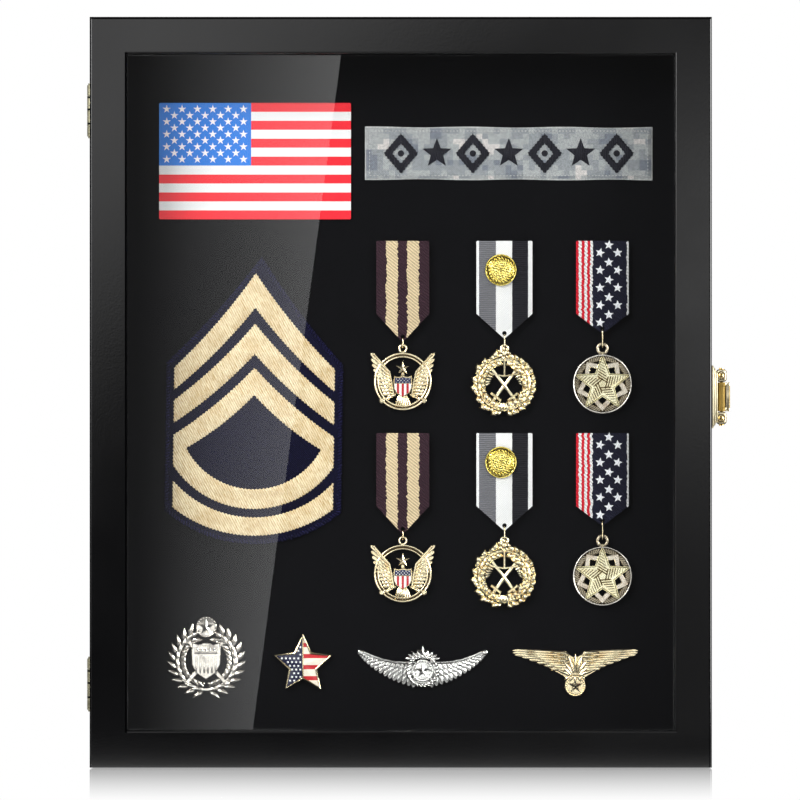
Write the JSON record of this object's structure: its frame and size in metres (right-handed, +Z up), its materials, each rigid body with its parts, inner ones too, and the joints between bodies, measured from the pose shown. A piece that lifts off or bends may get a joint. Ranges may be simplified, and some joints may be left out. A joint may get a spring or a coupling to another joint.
{
  "type": "badge display case",
  "caption": "Shallow black wall case with a hinged clear-fronted door and side latch, showing medals, pin badges, a patch, a name tape and a flag card on black felt.",
  "frame": {"origin": "centre of the case's bottom face, which the case stands on", "axes": "+Z up along the height, +Y from the front (glazed door) to the back, +X to the right as seen from the front; hinges at -X, latch at +X"},
  "size_m": [0.3166, 0.047, 0.3683],
  "materials": {
    "black_lacquer": "satin",
    "bare_wood": "matte",
    "panel_board": "matte",
    "soft_board": "matte",
    "black_felt": "matte",
    "clear_pane": "gloss",
    "black_strip": "matte",
    "bright_steel": "satin",
    "black_rubber": "matte",
    "polished_brass": "polished",
    "printed_card": "gloss",
    "tape_cloth": "matte",
    "embroidery": "matte",
    "striped_ribbon": "satin",
    "gold_plate": "polished",
    "antique_bronze": "satin",
    "silver_plate": "polished",
    "enamel": "gloss"
  },
  "bodies": {
    "case": {"case_wall_top": "black_lacquer", "case_wall_bottom": "black_lacquer", "case_wall_left": "black_lacquer", "case_wall_right": "black_lacquer", "case_biscuits": "bare_wood", "back_panel": "panel_board", "pin_board": "soft_board", "felt_cover": "black_felt", "wall_liners": "black_felt", "back_panel_screws": "bright_steel", "hanger_plate_left": "bright_steel", "hanger_plate_right": "bright_steel", "hanger_screws": "bright_steel", "badge_pins": "bright_steel", "ribbon_bars": "bright_steel", "wall_bumpers": "black_rubber", "stop_pads": "black_rubber", "hinge_upper_case_leaf": "polished_brass", "hinge_upper_pin": "polished_brass", "hinge_lower_case_leaf": "polished_brass", "hinge_lower_pin": "polished_brass", "hinge_case_screws": "polished_brass", "latch_keeper": "polished_brass", "keeper_screws": "polished_brass", "flag_card": "printed_card", "name_tape": "tape_cloth", "chevron_patch": "embroidery", "ribbon_winged_upper": "striped_ribbon", "ribbon_wreath_upper": "striped_ribbon", "ribbon_starred_upper": "striped_ribbon", "ribbon_winged_lower": "striped_ribbon", "ribbon_wreath_lower": "striped_ribbon", "ribbon_starred_lower": "striped_ribbon", "link_rings": "gold_plate", "ribbon_buttons": "gold_plate", "branch_badge": "gold_plate", "emblem_badge": "silver_plate", "wings_badge": "silver_plate", "star_pin": "enamel"},
    "door": {"door_rail_top": "black_lacquer", "door_rail_bottom": "black_lacquer", "door_stile_left": "black_lacquer", "door_stile_right": "black_lacquer", "door_biscuits": "bare_wood", "door_pane": "clear_pane", "pane_retainers": "black_strip", "retainer_brads": "bright_steel", "hinge_upper_door_leaf": "polished_brass", "hinge_lower_door_leaf": "polished_brass", "hinge_door_screws": "polished_brass", "latch_base": "polished_brass", "latch_base_screws": "polished_brass", "latch_pin": "polished_brass"},
    "latch_lever": {"latch_lever": "polished_brass"},
    "pendant_winged_upper": {"pendant_winged_upper": "gold_plate"},
    "pendant_wreath_upper": {"pendant_wreath_upper": "gold_plate"},
    "pendant_starred_upper": {"pendant_starred_upper": "antique_bronze"},
    "pendant_winged_lower": {"pendant_winged_lower": "gold_plate"},
    "pendant_wreath_lower": {"pendant_wreath_lower": "gold_plate"},
    "pendant_starred_lower": {"pendant_starred_lower": "antique_bronze"}
  },
  "joints": [
    {"name": "door_hinge", "type": "hinge", "parent": "case", "child": "door", "pos_m": [-0.153, -0.01475, 0.18215], "axis": [0, 0, -1], "range_deg": [0, 170]},
    {"name": "latch_swing", "type": "hinge", "parent": "door", "child": "latch_lever", "pos_m": [0.1577, -0.0231, 0.18215], "axis": [0, 0, -1], "range_deg": [0, 100]},
    {"name": "swing_winged_upper", "type": "hinge", "parent": "case", "child": "pendant_winged_upper", "pos_m": [0.00101, 0.0024, 0.20674], "axis": [0, -1, 0], "range_deg": [-12, 12]},
    {"name": "swing_wreath_upper", "type": "hinge", "parent": "case", "child": "pendant_wreath_upper", "pos_m": [0.05161, 0.0024, 0.20674], "axis": [0, -1, 0], "range_deg": [-12, 12]},
    {"name": "swing_starred_upper", "type": "hinge", "parent": "case", "child": "pendant_starred_upper", "pos_m": [0.10039, 0.0024, 0.20674], "axis": [0, -1, 0], "range_deg": [-12, 12]},
    {"name": "swing_winged_lower", "type": "hinge", "parent": "case", "child": "pendant_winged_lower", "pos_m": [0.00101, 0.0024, 0.11106], "axis": [0, -1, 0], "range_deg": [-12, 12]},
    {"name": "swing_wreath_lower", "type": "hinge", "parent": "case", "child": "pendant_wreath_lower", "pos_m": [0.05161, 0.0024, 0.11106], "axis": [0, -1, 0], "range_deg": [-12, 12]},
    {"name": "swing_starred_lower", "type": "hinge", "parent": "case", "child": "pendant_starred_lower", "pos_m": [0.10039, 0.0024, 0.11106], "axis": [0, -1, 0], "range_deg": [-12, 12]}
  ]
}
